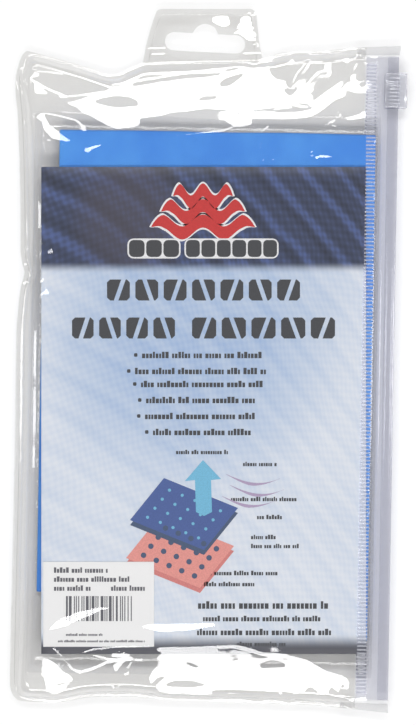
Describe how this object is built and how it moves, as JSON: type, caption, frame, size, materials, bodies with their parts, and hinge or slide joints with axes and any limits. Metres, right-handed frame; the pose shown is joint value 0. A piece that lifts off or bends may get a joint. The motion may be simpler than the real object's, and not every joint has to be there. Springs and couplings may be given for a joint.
{
  "type": "cooling neck wrap in a clear zip pouch with a card",
  "caption": "Folded soft foam neck wrap with a slit near its end, behind a printed card in a clear vinyl zip pouch with a hang tab.",
  "frame": {"origin": "middle of the pouch's outline, on the surface that its back film rests on", "axes": "+X across the pouch towards the zip, +Y up the pouch towards the hang tab, +Z out of the front film"},
  "size_m": [0.1226, 0.2198, 0.009],
  "materials": {
    "clear_vinyl": "clear glossy vinyl film with soft creases",
    "zip_plastic": "clear extruded zip, slightly milky",
    "slider_plastic": "clear moulded plastic",
    "thin_film": "thin crinkled clear film",
    "foam_cloth": "bright blue soft foam cloth, matt",
    "printed_card": "printed card, navy to pale blue, light gloss",
    "label_paper": "white paper label"
  },
  "bodies": {
    "pouch": {"pouch_film": "clear_vinyl", "zip_front_strip": "zip_plastic", "zip_back_strip": "zip_plastic", "inner_bag": "thin_film", "neck_wrap": "foam_cloth", "card": "printed_card", "label": "label_paper"},
    "slider": {"zip_slider": "slider_plastic"}
  },
  "joints": [
    {"name": "zip_slide", "type": "slide", "parent": "pouch", "child": "slider", "axis": [0, 1, 0], "range_m": [-0.1856, 0.0052]}
  ]
}
